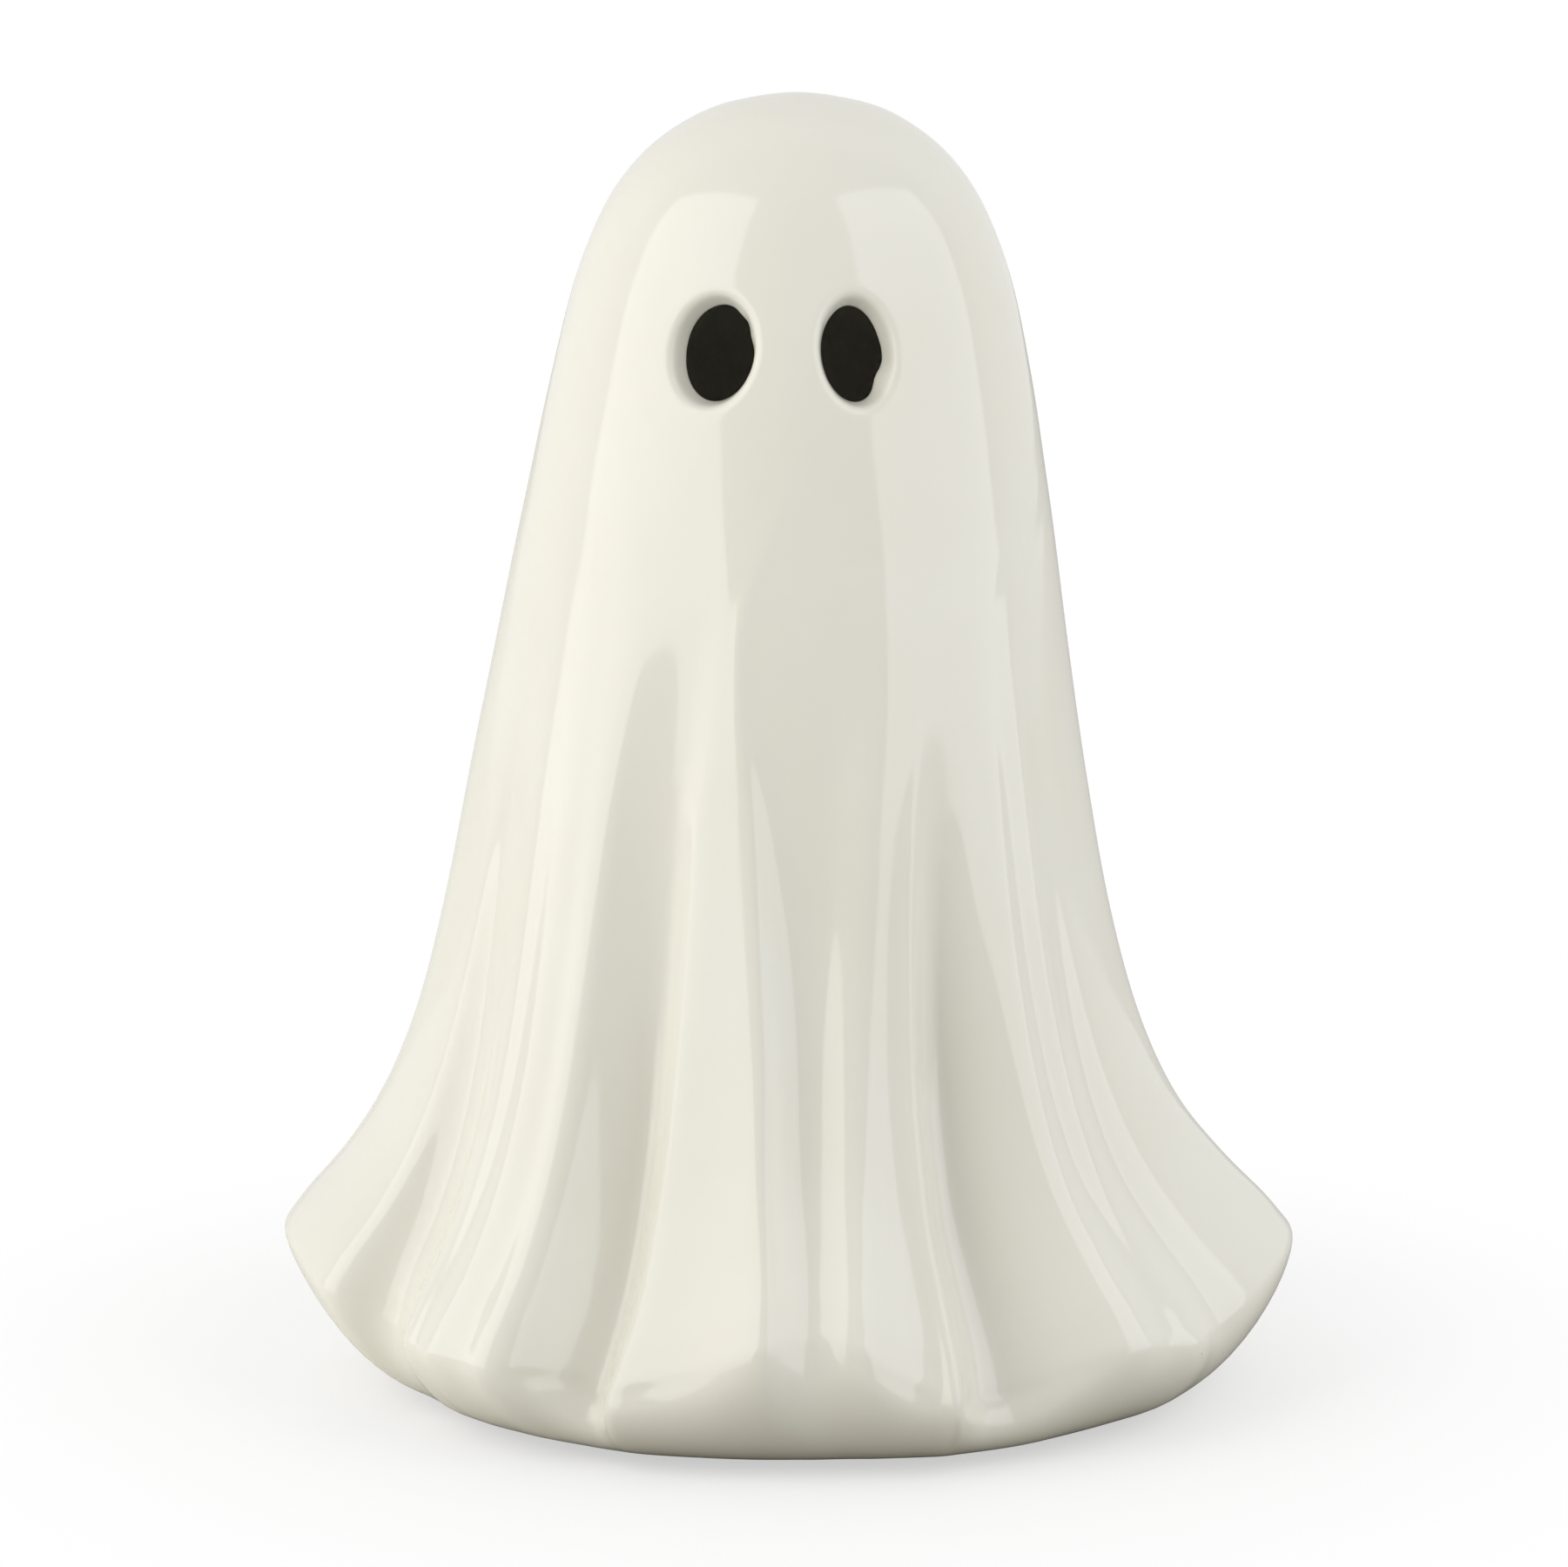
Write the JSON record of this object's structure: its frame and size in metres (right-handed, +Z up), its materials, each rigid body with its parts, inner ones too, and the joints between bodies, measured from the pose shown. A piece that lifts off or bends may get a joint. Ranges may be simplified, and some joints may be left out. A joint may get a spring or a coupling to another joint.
{
  "type": "ceramic ghost figure",
  "caption": "Hollow glazed ceramic ghost with a folded, flared skirt and cut-through eyes, lit from inside by a battery light that pulls out of its base.",
  "frame": {"origin": "on the table, at the centre of the figure's footprint", "axes": "+Z up, the face looks towards -Y, +X to the viewer's right"},
  "size_m": [0.1497, 0.1266, 0.19],
  "materials": {
    "glaze": "high gloss off-white glaze",
    "felt": "pressed felt",
    "rubber": "matt moulded rubber",
    "housing_plastic": "satin moulded plastic",
    "frosted_plastic": "frosted translucent plastic",
    "led_lens": "clear moulded lens",
    "board": "green solder resist",
    "switch_plastic": "black moulded plastic",
    "knob_plastic": "moulded plastic",
    "contact_brass": "stamped strip",
    "cell_steel": "plated steel can",
    "screw_steel": "zinc plated"
  },
  "bodies": {
    "ghost": {"ghost_shell": "glaze", "foot_pads": "felt", "base_grommet": "rubber"},
    "light_unit": {"light_housing": "housing_plastic", "light_cap": "frosted_plastic", "led": "led_lens", "circuit_board": "board", "switch_body": "switch_plastic", "contact_positive": "contact_brass", "contact_negative": "contact_brass"},
    "door": {"battery_door": "housing_plastic", "coin_cell": "cell_steel"},
    "screw": {"door_screw": "screw_steel"},
    "knob": {"switch_knob": "knob_plastic"}
  },
  "joints": [
    {"name": "light_unit_pull", "type": "slide", "parent": "ghost", "child": "light_unit", "axis": [0, 0, -1], "range_m": [0, 0.045]},
    {"name": "battery_door_lift", "type": "slide", "parent": "light_unit", "child": "door", "axis": [0, 0, -1], "range_m": [0, 0.012]},
    {"name": "door_screw_turn", "type": "hinge", "parent": "door", "child": "screw", "pos_m": [-0.007, 0.0128, 0.003], "axis": [0, 0, 1], "continuous": true},
    {"name": "switch_slide", "type": "slide", "parent": "light_unit", "child": "knob", "axis": [0, 1, 0], "range_m": [0, 0.002]}
  ]
}
